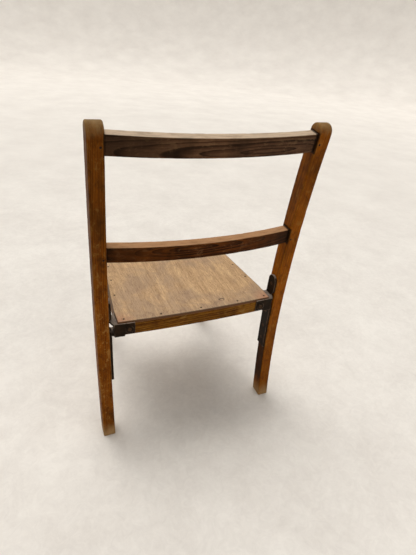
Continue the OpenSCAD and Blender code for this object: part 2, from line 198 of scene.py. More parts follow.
class Bar:
    """A squared length of timber built from sections of its CAD node.

    Each section's corners come from the node itself, so the bar bends and tapers as it does.
    """

    def __init__(self, node, axis, start, stop, count, radius, ends=(False, False)):
        solid = Solid(node)
        self.axis, self.radius = axis, radius
        self.start, self.stop = start, stop
        self.round_low, self.round_high = ends
        inner = np.linspace(start, stop, count)
        self.places = sorted(set(inner) | set(self.end_places()))
        reach = 0.4 * MM
        safe = [min(max(p, start + reach), stop - reach) for p in self.places]
        self.sections = [self.frame_of(solid.corners(axis, p), p, q)
                         for p, q in zip(safe, self.places)]

    def end_places(self):
        """Places of the rows that follow the rounded ends."""
        steps = [self.radius * s for s in EDGE_STEPS]
        low = [self.start + s for s in steps] if self.round_low else []
        high = [self.stop - s for s in steps] if self.round_high else []
        return low + high

    def frame_of(self, corners, cut_at, place):
        """Centre, two half-size vectors and the place along the bar of one section."""
        a, b, c, d = corners
        centre = (a + b + c + d) / 4
        centre[self.axis] += place - cut_at
        return centre, ((b - a) + (c - d)) / 4, ((d - a) + (c - b)) / 4, place

    def end_drop(self, place):
        """How far the faces have dropped near a rounded end."""
        drop = 0.0
        if self.round_low:
            drop = rounding(place - self.start, self.radius)
        if self.round_high:
            drop = max(drop, rounding(self.stop - place, self.radius))
        return drop

    def ring(self, section, sides):
        """Outline of one section, with rounded corners and each side cut into short steps."""
        centre, half_p, half_q, place = section
        drop = self.end_drop(place)
        size_p, size_q = half_p.length - drop, half_q.length - drop
        unit_p, unit_q = half_p.normalized(), half_q.normalized()
        r = min(self.radius, size_p * 0.9, size_q * 0.9)
        outline = []
        for k, corner in enumerate(CORNERS):
            turn = math.pi / 2 * (k - 1)
            for step in range(5):
                angle = turn + math.pi / 2 * step / 4
                outline.append((corner[0] * (size_p - r) + r * math.cos(angle),
                                corner[1] * (size_q - r) + r * math.sin(angle)))
            nxt = CORNERS[(k + 1) % 4]
            angle = turn + math.pi / 2
            last = outline[-1]
            first = (nxt[0] * (size_p - r) + r * math.cos(angle),
                     nxt[1] * (size_q - r) + r * math.sin(angle))
            for step in range(1, sides):
                s = step / sides
                outline.append((last[0] + s * (first[0] - last[0]),
                                last[1] + s * (first[1] - last[1])))
        return [centre + unit_p * p + unit_q * q for p, q in outline]

    def local(self, co):
        """Place in the timber: across, across and along."""
        k = int(np.searchsorted(self.places, co[self.axis]))
        k = min(max(k, 1), len(self.sections) - 1)
        c0, p0, q0, s0 = self.sections[k - 1]
        c1, p1, q1, s1 = self.sections[k]
        share = min(max((co[self.axis] - s0) / (s1 - s0), 0), 1)
        offset = co - c0.lerp(c1, share)
        half_p, half_q = p0.lerp(p1, share), q0.lerp(q1, share)
        return Vector((offset.dot(half_p.normalized()), offset.dot(half_q.normalized()),
                       co[self.axis])), half_p.length, half_q.length

    def edge(self, co):
        """1 on the bar's long edges, falling to 0 on its faces."""
        place, size_p, size_q = self.local(co)
        gap = max(size_p - abs(place.x), 0) + max(size_q - abs(place.y), 0)
        return max(0.0, 1 - gap / (2.4 * self.radius))

    def build(self, name, material, slot, seed, wave=0.12 * MM, dent=0.7 * MM, sides=7,
              grime_and_shade=lambda co: 0.0):
        """Makes the piece. The seed shifts its grain and dents, so that no two are alike."""
        bm = skin([self.ring(s, sides) for s in self.sections])
        roughen(bm, seed, wave, dent, self.edge)
        along = Vector((0, 0, seed * 0.71))
        piece = finish_mesh(name + "_wood", bm, lambda co: self.local(co)[0] + along, self.edge,
                            material, name)
        # Dirt and painted shade, kept at the points for the material.
        store(piece.data, "grime_and_shade", grime_and_shade)
        return piece


# ---------------------------------------------------------------- shader nodes

def srgb(text):
    """Linear colour of a hex colour."""
    parts = [int(text[k:k + 2], 16) / 255 for k in (0, 2, 4)]
    return tuple(c / 12.92 if c <= 0.04045 else ((c + 0.055) / 1.055) ** 2.4 for c in parts) + (1,)


class Shader:
    """A material under construction: each method adds nodes and returns an output socket."""

    def __init__(self, name):
        self.material = bpy.data.materials.new(name)
        self.material.use_nodes = True
        self.nodes = self.material.node_tree.nodes
        self.links = self.material.node_tree.links
        self.principled = self.nodes["Principled BSDF"]

    def feed(self, socket, value):
        """Links an output to a socket, or sets the socket to a plain value."""
        if isinstance(value, bpy.types.NodeSocket):
            self.links.new(value, socket)
        else:
            socket.default_value = value

    def attribute(self, name, output="Vector"):
        """What store() kept at the points of the mesh."""
        node = self.nodes.new("ShaderNodeAttribute")
        node.attribute_name = name
        return node.outputs[output]

    def object_place(self):
        return self.nodes.new("ShaderNodeTexCoord").outputs["Object"]

    def normal(self):
        return self.nodes.new("ShaderNodeNewGeometry").outputs["Normal"]

    def scale(self, vector, factors, offset=(0, 0, 0)):
        """A place made finer by factors per metre, moved so that no two patterns agree."""
        node = self.nodes.new("ShaderNodeMapping")
        self.feed(node.inputs["Vector"], vector)
        node.inputs["Scale"].default_value = factors
        node.inputs["Location"].default_value = offset
        return node.outputs["Vector"]

    def parts(self, vector):
        node = self.nodes.new("ShaderNodeSeparateXYZ")
        self.feed(node.inputs[0], vector)
        return node.outputs

    def join(self, x, y, z):
        node = self.nodes.new("ShaderNodeCombineXYZ")
        for socket, value in zip(node.inputs, (x, y, z)):
            self.feed(socket, value)
        return node.outputs[0]

    def math(self, operation, a, b=0.0):
        node = self.nodes.new("ShaderNodeMath")
        node.operation = operation
        self.feed(node.inputs[0], a)
        self.feed(node.inputs[1], b)
        return node.outputs[0]

    def add(self, a, b):
        return self.math("ADD", a, b)

    def times(self, a, b):
        return self.math("MULTIPLY", a, b)

    def noise(self, vector, detail=3.0, rough=0.55, distortion=0.0):
        node = self.nodes.new("ShaderNodeTexNoise")
        self.feed(node.inputs["Vector"], vector)
        node.inputs["Scale"].default_value = 1.0
        node.inputs["Detail"].default_value = detail
        node.inputs["Roughness"].default_value = rough
        node.inputs["Distortion"].default_value = distortion
        return node.outputs["Fac"]

    def span(self, value, low, high, to_low=0.0, to_high=1.0):
        """Runs smoothly from to_low to to_high as the value goes from low to high."""
        node = self.nodes.new("ShaderNodeMapRange")
        node.interpolation_type = "SMOOTHSTEP"
        self.feed(node.inputs["Value"], value)
        for key, number in zip(("From Min", "From Max", "To Min", "To Max"),
                               (low, high, to_low, to_high)):
            node.inputs[key].default_value = number
        return node.outputs["Result"]

    def ramp(self, value, colours):
        """Colour at a value, from (place, hex colour) pairs."""
        node = self.nodes.new("ShaderNodeValToRGB")
        self.feed(node.inputs["Fac"], value)
        elements = node.color_ramp.elements
        while len(elements) < len(colours):
            elements.new(0.5)
        for element, (place, colour) in zip(elements, colours):
            element.position = place
            element.color = srgb(colour)
        return node.outputs["Color"]

    def mix(self, share, a, b):
        """Colour a turned into colour b by a share."""
        node = self.nodes.new("ShaderNodeMix")
        node.data_type = "RGBA"
        self.feed(node.inputs["Factor"], share)
        # Sockets 6 and 7 and output 2 are the colour ones.
        self.feed(node.inputs[6], a)
        self.feed(node.inputs[7], b)
        return node.outputs[2]

    def bump(self, height, strength, distance, below=None):
        node = self.nodes.new("ShaderNodeBump")
        node.inputs["Strength"].default_value = strength
        node.inputs["Distance"].default_value = distance
        self.feed(node.inputs["Height"], height)
        if below is not None:
            self.feed(node.inputs["Normal"], below)
        return node.outputs["Normal"]

    def surface(self, colour, roughness, normal, **constants):
        self.feed(self.principled.inputs["Base Color"], colour)
        self.feed(self.principled.inputs["Roughness"], roughness)
        self.feed(self.principled.inputs["Normal"], normal)
        for key, value in constants.items():
            self.principled.inputs[key.replace("_", " ")].default_value = value
        return self.material


# ---------------------------------------------------------------- materials

# Old varnish and oiled iron give their highlights an amber cast.
WARM_SHEEN = (1.0, 0.74, 0.45, 1.0)
VENEER_PAIR = 2.0 * MM


def growth_rings(s, grain, gap, pith, lean):
    """Rings round a pith line that lies outside the piece.

    Returns the place within a ring, 0 to 1, and the share of dark late wood there.
    """
    drift = s.noise(s.scale(grain, (12, 12, 2.6)), 2.0)
    wobble = s.noise(s.scale(grain, (45, 45, 9), (3, 1, 2)), 3.0)
    x, y, z = s.parts(grain)
    sway = s.times(s.add(drift, -0.5), 26 * MM)
    across = s.add(s.add(x, pith[0] * MM), s.add(sway, s.times(z, lean[0])))
    ripple = s.times(s.add(wobble, -0.5), 6 * MM)
    depth = s.add(s.add(y, pith[1] * MM), s.add(ripple, s.times(z, lean[1])))
    radius = s.math("SQRT", s.add(s.times(across, across), s.times(depth, depth)))
    uneven = s.noise(s.join(s.times(radius, 130.0), 0.0, 0.0), 2.0)
    turns = s.add(s.math("DIVIDE", radius, gap * MM), s.times(uneven, 2.2))
    ring = s.math("FRACT", turns)
    late = s.times(s.math("POWER", ring, 2.4), s.span(ring, 0.9, 1.0, 1.0, 0.2))
    return ring, late


def clouded(s, colour, light, line):
    """Adds broad dark stains and lighter patches. Returns the colour and the stains' noise."""
    place = s.object_place()
    blotch = s.noise(s.scale(place, (16, 16, 9), (2, 2, 5)), 4.0, 0.62)
    colour = s.mix(s.span(blotch, 0.46, 0.70, 0.0, 0.6), colour, srgb(line))
    glow = s.noise(s.scale(place, (13, 13, 6), (8, 3, 1)), 3.0, 0.6)
    return s.mix(s.span(glow, 0.50, 0.72, 0.0, 0.5), colour, srgb(light)), blotch


def rubbed_share(s, grain, blotch, worn):
    """How far varnish is rubbed off edges and flecked off faces, most of all near the floor.

    Returns that share and the scuffing noise behind it.
    """
    wear = s.attribute("wear", "Fac")
    scuff = s.noise(s.scale(grain, (150, 150, 40), (1, 4, 2)), 5.0, 0.7)
    rubbed = s.times(s.span(s.add(s.times(wear, 0.5), scuff), 0.72, 1.12), worn)
    flecks = s.noise(s.scale(grain, (330, 330, 130), (8, 3, 1)), 3.0, 0.7)
    height = s.parts(s.object_place())[Z]
    patchy = s.add(s.span(blotch, 0.35, 0.6, 0.8, 0.1), s.span(height, 0.12, 0.38, 0.5, 0.0))
    speck = s.times(s.span(flecks, 0.58, 0.68), patchy)
    return s.math("MAXIMUM", rubbed, s.times(speck, worn)), scuff


def mottled(s, colour, grain, raw, line, share):
    """Adds small dark smudges and small pale ones."""
    smudge = s.noise(s.scale(grain, (70, 70, 40), (9, 1, 7)), 6.0, 0.72, 0.5)
    colour = s.mix(s.span(smudge, 0.50, 0.66, 0.0, share), colour, srgb(line))
    return s.mix(s.span(smudge, 0.46, 0.34, 0.0, share), colour, srgb(raw))


def aged_ends(s, colour, line, scuff, shade, foot):
    """Darkens a piece towards one end, and scuffs its cap or foot to a paler tint.

    shade holds (axis, start, full, share); foot holds (reach, share, tint, measured upward).
    """
    place = s.parts(s.object_place())
    for axis, start, full, share in shade:
        colour = s.mix(s.span(place[axis], start, full, 0.0, share), colour, srgb(line))
    ragged = s.times(s.add(scuff, -0.5), 0.9)
    for (start, stop), share, tint, upward in foot:
        height = place[Z] if upward else s.times(place[Z], -1.0)
        edge = s.add(height, s.times(ragged, stop - start))
        colour = s.mix(s.span(edge, start, stop, share, 0.0), colour, srgb(tint))
    return colour


def dust_dirt_and_painted_light(s, colour, scuff, dusty_and_top_lit):
    """Adds pale dust and a painted top light on faces that look up, then the dark dirt and painted
    shade stored at the piece's points.
    """
    if dusty_and_top_lit is not None:
        share, tint = dusty_and_top_lit
        up = s.parts(s.normal())[Z]
        # Pale film: dust, and a painted top light.
        dust_and_top_light_film = s.times(s.span(up, 0.55, 0.95), s.span(scuff, 0.25, 0.6, 0.55 * share, share))
        colour = s.mix(dust_and_top_light_film, colour, srgb(tint))
    # Dark mark: dirt, and painted shade in joints and under the seat.
    grime_and_shade = s.attribute("grime_and_shade", "Fac")
    dirt = s.span(s.add(grime_and_shade, s.times(s.add(scuff, -0.5), 0.5)), 0.25, 0.75)
    return s.mix(s.times(dirt, 0.88), colour, srgb("140b06"))


def oak(name, light, dark, line, raw, gap=3.4, pith=(38, -22), lean=(0.03, 0.02), rings=0.4,
        streak=0.5, worn=0.6, dusty_and_top_lit=None, foot=(), shade=(), mottle=0.45, gloss=0.45):
    """Oak with growth rings, pores, streaked stain, rubbed edges, scuffed ends, dust with a painted
    top light, and grime with painted shade.

    pith and gap are in millimetres, and lean is how fast the pith line runs out, which draws
    the arches on a flat-sawn face.
    """
    s = Shader(name)
    grain = s.attribute("grain")
    ring, late = growth_rings(s, grain, gap, pith, lean)
    fibre = s.noise(s.scale(grain, (520, 520, 14)), 4.0, 0.7)
    broad = s.noise(s.scale(grain, (95, 95, 4.5), (5, 2, 0)), 4.0, 0.62)
    tone = s.add(s.times(late, rings), s.add(s.times(fibre, 0.36), s.times(broad, streak)))
    colour = s.ramp(tone, [(0.30, light), (0.58, dark), (0.92, line)])
    colour, blotch = clouded(s, colour, light, line)
    pores = s.noise(s.scale(grain, (1700, 1700, 75), (0, 7, 0)), 2.0, 0.5)
    pore = s.times(s.span(pores, 0.57, 0.68), s.span(ring, 0.0, 0.4, 1.0, 0.3))
    colour = s.mix(s.times(pore, 0.6), colour, srgb(line))
    rubbed, scuff = rubbed_share(s, grain, blotch, worn)
    colour = s.mix(rubbed, colour, srgb(raw))
    colour = mottled(s, colour, grain, raw, line, mottle)
    colour = aged_ends(s, colour, line, scuff, shade, foot)
    colour = dust_dirt_and_painted_light(s, colour, scuff, dusty_and_top_lit)
    rough = s.add(s.times(rubbed, 0.25), s.add(gloss, s.times(fibre, 0.2)))
    relief = s.add(s.times(fibre, 0.5), s.add(s.times(late, 0.3), s.times(pore, -0.9)))
    normal = s.bump(relief, 0.4, 0.22 * MM)
    normal = s.bump(scuff, 0.2, 0.5 * MM, normal)
    return s.surface(colour, rough, normal, Specular_IOR_Level=0.07, Specular_Tint=WARM_SHEEN)


def knot_mark(s, centre, ragged):
    """A small broken ring of dark grain round a point of the seat."""
    place = s.parts(s.object_place())
    dx = s.add(place[X], -centre.x)
    dy = s.times(s.add(place[Y], -centre.y), 1.5)
    away = s.math("SQRT", s.add(s.times(dx, dx), s.times(dy, dy)))
    away = s.add(away, s.times(s.add(ragged, -0.5), 5 * MM))
    band = s.times(s.span(away, 2.5 * MM, 4.5 * MM), s.span(away, 5.5 * MM, 9 * MM, 1.0, 0.0))
    far_side = s.span(dy, -4 * MM, 5 * MM, 1.0, 0.35)
    return s.times(band, far_side)


def birch_face(s, grain, knot):
    """Rotary-cut birch: long soft streaks, golden and grey patches, handling dirt and a knot.

    Returns the colour, the height of the grain and the noise of the grey stains.
    """
    warp = s.noise(s.scale(grain, (14, 14, 3.5)), 3.0)
    x, y, z = s.parts(grain)
    bent = s.join(s.add(x, s.times(warp, 22 * MM)), y, z)
    figure = s.noise(s.scale(bent, (110, 30, 8)), 5.0, 0.65, 0.4)
    fine = s.noise(s.scale(bent, (700, 60, 60), (4, 0, 0)), 5.0, 0.75)
    tone = s.add(s.times(figure, 0.42), s.times(fine, 0.58))
    colour = s.ramp(tone, [(0.34, "d8b486"), (0.50, "b7936a"), (0.66, "8b6a48")])
    stain = s.noise(s.scale(grain, (15, 10, 10), (3, 0, 1)), 5.0, 0.66, 0.6)
    edge = s.add(z, s.times(s.add(stain, -0.5), 60 * MM))
    rear = s.span(edge, knot.y - 75 * MM, knot.y + 15 * MM)
    stained = s.span(s.add(stain, s.times(rear, 0.09)), 0.44, 0.66, 0.0, 0.55)
    colour = s.mix(stained, colour, srgb("8f7763"))
    gold = s.noise(s.scale(bent, (210, 10, 17), (7, 0, 2)), 5.0, 0.7)
    colour = s.mix(s.span(gold, 0.52, 0.70, 0.0, 0.45), colour, srgb("d8b481"))
    touch = s.noise(s.scale(grain, (48, 30, 38), (6, 0, 4)), 6.0, 0.75, 1.2)
    dirt = s.span(s.add(touch, s.times(rear, 0.06)), 0.54, 0.72, 0.0, 0.5)
    colour = s.mix(dirt, colour, srgb("7d6450"))
    colour = s.mix(knot_mark(s, knot, stain), colour, srgb("58402f"))
    flecks = s.noise(s.scale(bent, (900, 60, 130), (1, 0, 3)), 3.0, 0.65)
    colour = s.mix(s.times(s.span(flecks, 0.54, 0.68), 0.6), colour, srgb("6d4e30"))
    return colour, s.add(s.times(fine, 0.6), s.times(figure, 0.4)), stain


def edge_plies(s, level):
    """Veneers on the seat's edge run crosswise in turn, with dark glue between them."""
    sheet = s.math("FRACT", s.math("DIVIDE", level, VENEER_PAIR))
    return s.ramp(sheet, [(0.0, "2e1a0b"), (0.15, "7a4d20"), (0.5, "684018"), (0.65, "52300f"),
                          (0.95, "2e1a0b")])


def plywood(name, knot):
    """The seat's birch plywood, red at its rear corners and dark round its nails and edges."""
    s = Shader(name)
    grain = s.attribute("grain")
    colour, relief, stain = birch_face(s, grain, knot)
    reddened = s.times(s.attribute("red", "Fac"), s.span(stain, 0.3, 0.6, 0.5, 1.0))
    colour = s.mix(reddened, colour, srgb("b47c5c"))
    colour = s.mix(s.times(s.attribute("spot", "Fac"), 0.8), colour, srgb("4a3526"))
    side = s.attribute("side", "Fac")
    colour = s.mix(side, colour, edge_plies(s, s.parts(grain)[Y]))
    wear = s.attribute("wear", "Fac")
    arris = s.times(s.span(wear, 0.6, 0.9), s.span(side, 0.2, 1.0, 0.85, 0.2))
    colour = s.mix(arris, colour, srgb("332011"))
    rough = s.add(0.45, s.times(stain, 0.25))
    return s.surface(colour, rough, s.bump(relief, 0.22, 0.3 * MM), Specular_IOR_Level=0.25)


def iron(name, body="120a05", rust="221207", bare_and_highlight="8a7664", dust_and_top_light="85766a"):
    """Dark cast iron: pitted, browned with old rust, rubbed pale on its edges with a painted
    highlight there, dusty and painted lighter on top.
    """
    s = Shader(name)
    place = s.object_place()
    pits = s.noise(s.scale(place, (520, 520, 520)), 4.0, 0.65)
    patch = s.noise(s.scale(place, (80, 80, 80), (1, 2, 3)), 4.0, 0.6)
    streaks = s.noise(s.scale(place, (240, 240, 90), (4, 1, 0)), 3.0, 0.6)
    colour = s.mix(s.span(patch, 0.42, 0.66), srgb(body), srgb(rust))
    colour = s.mix(s.span(pits, 0.35, 0.6, 0.5, 0.0), colour, srgb("0c0805"))
    edge = s.nodes.new("ShaderNodeNewGeometry").outputs["Pointiness"]
    # Pale bare metal on convex edges: real wear, and a painted highlight on the rims.
    rubbed = s.times(s.span(s.add(edge, s.times(s.add(streaks, -0.5), 0.06)), 0.51, 0.57), 0.7)
    colour = s.mix(rubbed, colour, srgb(bare_and_highlight))
    up = s.parts(s.normal())[Z]
    # Pale film on faces that look up: dust, and a painted top light.
    dust_and_top_light_film = s.times(s.span(up, 0.6, 0.95), s.span(streaks, 0.3, 0.6, 0.45, 0.95))
    colour = s.mix(dust_and_top_light_film, colour, srgb(dust_and_top_light))
    rough = s.add(0.42, s.times(pits, 0.3))
    normal = s.bump(s.add(pits, s.times(patch, 0.6)), 0.35, 0.3 * MM)
    return s.surface(colour, rough, normal, Specular_IOR_Level=0.12, Specular_Tint=WARM_SHEEN)


# ---------------------------------------------------------------- the chair

POST_EDGE = 2.4 * MM
LEG_EDGE = 2.0 * MM
RAIL_EDGE = 1.5 * MM
FRAME_EDGE = 1.2 * MM


class Post(Bar):
    """A back post: its side view is taken from the CAD node, with a half-round top."""

    def __init__(self, node, count=290):
        solid = Solid(node)
        self.axis, self.radius = Z, POST_EDGE
        self.inner, self.outer = solid.low.x, solid.high.x
        top, probe = solid.high.z, 40 * MM
        front, back = solid.span(Z, top - probe, Y)
        further = solid.span(Z, top - 1.5 * probe, Y)
        slope = (back - further[1]) / (0.5 * probe)
        self.cap_r = (back - front) / 2 / math.sqrt(1 + slope * slope)
        self.cap_z = top - self.cap_r
        self.cap_y = solid.span(Z, self.cap_z, Y)[1] - self.cap_r
        foot = [POST_EDGE * s for s in EDGE_STEPS]
        straight = np.linspace(POST_EDGE, self.cap_z, count)
        angles = np.linspace(0, math.pi / 2, 16)[1:]
        self.places = foot[:-1] + list(straight) + [self.cap_z + self.cap_r * math.sin(a)
                                                    for a in angles]
        self.sections = []
        for place in self.places:
            cut = min(max(place, 0.2 * MM), self.cap_z)
            low, high = solid.span(Z, cut, Y)
            if place > self.cap_z:
                half = math.sqrt(max(self.cap_r ** 2 - (place - self.cap_z) ** 2, 0))
                low, high = self.cap_y - half, self.cap_y + half
            self.sections.append((low, high, place))

    def rim(self, y, z, low, high):
        """Distance of a point in the side view from the post's outline."""
        if z > self.cap_z:
            return self.cap_r - math.hypot(y - self.cap_y, z - self.cap_z)
        return min(y - low, high - y)

    def ring(self, section, sides):
        """Outline of one section, rounded at its corners, its foot and its half-round top."""
        low, high, place = section
        foot = rounding(place, self.radius)
        low, high = low + foot, high - foot
        x0, x1 = self.inner + foot, self.outer - foot
        radius = min(self.radius, 0.45 * (high - low) + 1e-6) if place < self.cap_z else self.radius
        edge = min(radius, (high - low) / 2)
        ys = stops(low, high, edge, sides + 1)
        faces = [(y, rounding(max(self.rim(y, place, low, high), 0), self.radius)) for y in ys]
        walls = [s / sides for s in range(1, sides)]
        a0, a1 = x0 + faces[-1][1], x1 - faces[-1][1]
        b0, b1 = x0 + faces[0][1], x1 - faces[0][1]
        points = [Vector((x1 - drop, y, place)) for y, drop in faces]
        points += [Vector((a1 + s * (a0 - a1), high, place)) for s in walls]
        points += [Vector((x0 + drop, y, place)) for y, drop in reversed(faces)]
        points += [Vector((b0 + s * (b1 - b0), low, place)) for s in walls]
        return points

    def local(self, co):
        k = int(np.searchsorted(self.places, min(co.z, self.cap_z)))
        k = min(max(k, 1), len(self.places) - 1)
        low0, high0, z0 = self.sections[k - 1]
        low1, high1, z1 = self.sections[k]
        share = min(max((co.z - z0) / (z1 - z0), 0), 1)
        low, high = low0 + share * (low1 - low0), high0 + share * (high1 - high0)
        middle = (self.inner + self.outer) / 2
        if co.z > self.cap_z:
            low, high = self.cap_y - self.cap_r, self.cap_y + self.cap_r
        return (Vector((co.x - middle, co.y - (low + high) / 2, co.z)),
                (self.outer - self.inner) / 2, (high - low) / 2)

    def edge(self, co):
        place, size_p, size_q = self.local(co)
        rim = size_q - abs(place.y)
        if co.z > self.cap_z:
            rim = self.cap_r - math.hypot(co.y - self.cap_y, co.z - self.cap_z)
        gap = max(size_p - abs(place.x), 0) + max(rim, 0)
        foot = max(0.0, 1 - co.z / (3 * self.radius))
        return min(1.0, max(0.0, 1 - gap / (2.4 * self.radius), 0.8 * foot))


# Reach and margin of the dirt and painted shadow round the back rails' joints
GRIME_AND_SHADOW_REACH = 5 * MM
GRIME_AND_SHADOW_MARGIN = 1.5 * MM
# How dark the painted shade on a post's inner face under the seat is
PAINTED_SHADE_UNDER_SEAT = 0.68


def joint_gap(co, corners):
    """Distance of a point on a post from the end of a back rail, in the joint's plane."""
    a, b, c, d = corners
    centre, wide, tall = (a + b + c + d) / 4, (b - a) / 2, (d - a) / 2
    gap = co - centre
    out_wide = abs(gap.y * wide.y + gap.z * wide.z) / wide.length - wide.length
    out_tall = abs(gap.y * tall.y + gap.z * tall.z) / tall.length - tall.length
    return max(out_wide - GRIME_AND_SHADOW_MARGIN, out_tall, 0.0)


def joint_grime_and_shade(side):
    """Dirt and a painted shadow on a post round the back rails' joints, and painted shade darkening
    its inner face under the seat.
    """
    post = Solid("post_" + side)
    face = post.low.x if SIDES[side] > 0 else post.high.x
    probe = face - SIDES[side] * 0.3 * MM
    joints = [Solid(node).corners(X, probe) for node in ("top_rail", "lower_rail")]
    seat_top = Solid("seat_panel").high.z

    def grime_and_shade(co):
        off_face = abs(co.x - face)
        if off_face > 4 * MM:
            return 0.0
        # Under the seat the inner face is darkened: painted shade.
        if co.z < seat_top:
            on_face = 1 - min(off_face / (1.5 * MM), 1)
            fade = min((seat_top - co.z) / (40 * MM), 1) * min(co.z / (60 * MM), 1)
            return PAINTED_SHADE_UNDER_SEAT * on_face * fade
        # Round the rails' ends: dirt, and a painted shadow in the joint.
        nearest = min(GRIME_AND_SHADOW_REACH, *(joint_gap(co, corners) for corners in joints))
        return (1 - nearest / GRIME_AND_SHADOW_REACH) * (1 - max(off_face - 2 * MM, 0) / (2 * MM))

    return grime_and_shade


POST_OAK = {
    "left": {"light": "904f06", "dark": "5f3003", "line": "2a1503", "raw": "966d38",
             "shade": ((Z, 0.28, 0.55, 0.5),)},
    "right": {"light": "9a5405", "dark": "6a3702", "line": "351b03", "raw": "8c5f26",
              "shade": ((Z, 0.34, 0.60, 0.2), (Z, 0.17, 0.05, 0.25))},
}
FOOT_WEAR = ((0.0, 40 * MM), 0.85, "947852", True)


def make_posts():
    """Both back posts, with pale scuffed feet and caps."""
    top = Solid("post_left").high.z
    cap_wear = ((-top - 14 * MM, 26 * MM - top), 0.8, "937850", False)
    for side, sign in SIDES.items():
        wood = oak("post_oak_" + side, foot=(FOOT_WEAR, cap_wear), rings=0.26, streak=0.5,
                   worn=0.75, mottle=0.55, pith=(30 + 8 * sign, -36), **POST_OAK[side])
        Post("post_" + side).build("post_" + side, wood, "post_wood", seed=1 + sign * 0.5,
                                   sides=10, grime_and_shade=joint_grime_and_shade(side))


def end_grime_and_shadow(reach):
    """Dirt and a painted shadow at both ends of a back rail, where it meets the posts, more of it
    at the right end.
    """
    return lambda co: max(0.0, 1 - (reach - abs(co.x)) / (9 * MM)) * (0.75 - 1.5 * co.x)


def make_back_rails():
    """The two bowed back rails, between the posts' inner faces."""
    inner = Solid("post_left").low.x
    # Both rails' pale film on faces that look up is dust and a painted top light.
    top = oak("top_rail_oak", "624631", "3b2619", "120a06", "86694a", gap=5.5, pith=(-24, 4),
              lean=(0.085, 0.01), rings=0.56, streak=0.45, worn=0.4, dusty_and_top_lit=(0.9, "c8b096"),
              mottle=0.2, shade=((X, 0.04, 0.15, 0.6),))
    low = oak("lower_rail_oak", "6b380d", "351703", "120601", "876242", gap=5.0, pith=(-22, -6),
              lean=(-0.09, 0.02), rings=0.55, streak=0.55, worn=0.4, dusty_and_top_lit=(0.85, "b38760"),
              mottle=0.2, shade=((X, 0.06, 0.16, 0.5), (X, -0.06, -0.16, 0.6)))
    into = 1.2 * MM
    for node, wood, seed in (("top_rail", top, 0.35), ("lower_rail", low, -0.2)):
        bar = Bar(node, X, -inner + 0.1 * MM, inner - 0.1 * MM, 190, RAIL_EDGE)
        stretch_ends(bar, into)
        bar.build(node, wood, "rail_wood", seed=seed, grime_and_shade=end_grime_and_shadow(inner))


def stretch_ends(bar, length):
    """Runs a bar's end sections on into the pieces that it meets, so that no gap shows."""
    for end, neighbour, way in ((0, 1, -1), (-1, -2, 1)):
        centre, half_p, half_q, place = bar.sections[end]
        step = centre - bar.sections[neighbour][0]
        step = step / abs(step[bar.axis]) * length
        bar.sections[end] = (centre + step, half_p, half_q, place + way * length)
        bar.places[end] = place + way * length


def make_seat_frame():
    """The rails under the seat: the rear one seen, the front one and the two sides hidden."""
    wood = oak("frame_oak", "8c5f1c", "5e3608", "241103", "85602f", streak=0.6, worn=0.4,
               mottle=0.6)
    rear, front = Solid("rear_seat_rail"), Solid("front_seat_rail")
    inset = 0.1 * MM
    bar = Bar("rear_seat_rail", X, rear.low.x + inset, rear.high.x - inset, 90, FRAME_EDGE)
    bar.build("rear_seat_rail", wood, "frame_wood", seed=9.1, dent=0.3 * MM)
    leg_in = Solid("front_leg_left").span(Z, front.high.z - inset, X)[0]
    bar = Bar("front_seat_rail", X, -leg_in + inset, leg_in - inset, 60, FRAME_EDGE)
    stretch_ends(bar, 1 * MM)
    bar.build("front_seat_rail", wood, "frame_wood", seed=11.3, dent=0.3 * MM)
    for side, sign in SIDES.items():
        node = "side_seat_rail_" + side
        under_seat = front.high.z - inset
        leg_back = Solid("front_leg_" + side).span(Z, under_seat, Y)[1]
        back = rear.span(X, sign * 150 * MM, Y)[0]
        bar = Bar(node, Y, leg_back + 4 * MM, back - inset, 80, FRAME_EDGE)
        stretch_ends(bar, 4 * MM)
        bar.build(node, wood, "frame_wood", seed=13.7 + sign, dent=0.3 * MM)


def make_front_legs():
    """The splayed front legs, of the left post's oak."""
    wood = oak("leg_oak", foot=(FOOT_WEAR,), rings=0.26, worn=0.55, **POST_OAK["left"])
    for side, sign in SIDES.items():
        node = "front_leg_" + side
        bar = Bar(node, Z, 0.0, Solid(node).high.z, 120, LEG_EDGE, ends=(True, False))
        bar.build(node, wood, "post_wood", seed=17.3 + 2 * sign)


SEAT_EDGE = 1.5 * MM
UNDER_EDGE = 0.4 * MM
NAIL_DIP = 0.35 * MM
NAIL_DIP_REACH = 4 * MM
SPOT_REACH = 5 * MM
RED_REACH = 42 * MM
KNOT_FROM_REAR = 24 * MM
KNOT_SHARE = 0.355


